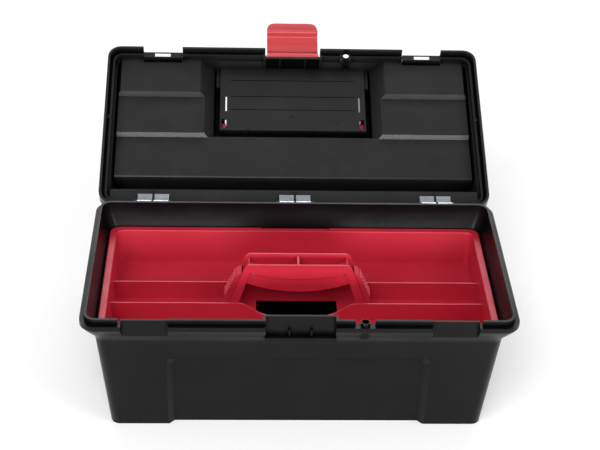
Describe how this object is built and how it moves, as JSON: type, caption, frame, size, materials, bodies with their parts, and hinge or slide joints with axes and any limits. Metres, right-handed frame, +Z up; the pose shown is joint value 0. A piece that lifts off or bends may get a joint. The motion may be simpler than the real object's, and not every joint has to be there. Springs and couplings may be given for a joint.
{
  "type": "toolbox",
  "caption": "Rectangular moulded toolbox with a hinged lid standing open, a front latch, small-parts wells in the lid, a folding carry handle and a lift-out tray with an arched handle.",
  "frame": {"origin": "underside of the base, below the middle of its rim", "axes": "+X to the right, -Y out of the latch side, +Z up; the lid stands open towards +Y"},
  "size_m": [0.415, 0.451, 0.2316],
  "materials": {
    "black_polypropylene": "satin moulded",
    "red_polypropylene": "gloss moulded",
    "galvanised_steel": "zinc plated"
  },
  "bodies": {
    "base": {"base_shell": "black_polypropylene", "hinge_pin_left": "galvanised_steel", "hinge_pin_centre": "galvanised_steel", "hinge_pin_right": "galvanised_steel"},
    "lid": {"lid_shell": "black_polypropylene", "latch_pin": "galvanised_steel", "hinge_strap_left": "galvanised_steel", "hinge_strap_centre": "galvanised_steel", "hinge_strap_right": "galvanised_steel"},
    "latch": {"latch": "red_polypropylene"},
    "carry_handle": {"carry_handle": "red_polypropylene"},
    "well_cover_left": {"well_cover_left": "black_polypropylene"},
    "well_cover_right": {"well_cover_right": "black_polypropylene"},
    "tray": {"tray": "red_polypropylene", "tray_handle": "red_polypropylene"}
  },
  "joints": [
    {"name": "lid_hinge", "type": "hinge", "parent": "base", "child": "lid", "pos_m": [0, 0.1057, 0.1396], "axis": [-1, 0, 0], "range_deg": [-156, 0]},
    {"name": "latch_pivot", "type": "hinge", "parent": "lid", "child": "latch", "pos_m": [0, 0.29792, 0.21336], "axis": [-1, 0, 0], "range_deg": [-90, 0]},
    {"name": "carry_handle_pivot", "type": "hinge", "parent": "lid", "child": "carry_handle", "pos_m": [0, 0.23094, 0.15727], "axis": [-1, 0, 0], "range_deg": [-90, 0]},
    {"name": "well_cover_left_hinge", "type": "hinge", "parent": "lid", "child": "well_cover_left", "pos_m": [-0.1917, 0.2361, 0.14806], "axis": [0, 0.9135, 0.4067], "range_deg": [0, 110]},
    {"name": "well_cover_right_hinge", "type": "hinge", "parent": "lid", "child": "well_cover_right", "pos_m": [0.1917, 0.2361, 0.14806], "axis": [0, -0.9135, -0.4067], "range_deg": [0, 110]},
    {"name": "tray_lift", "type": "slide", "parent": "base", "child": "tray", "axis": [0, 0, 1], "range_m": [0, 0.18]}
  ]
}
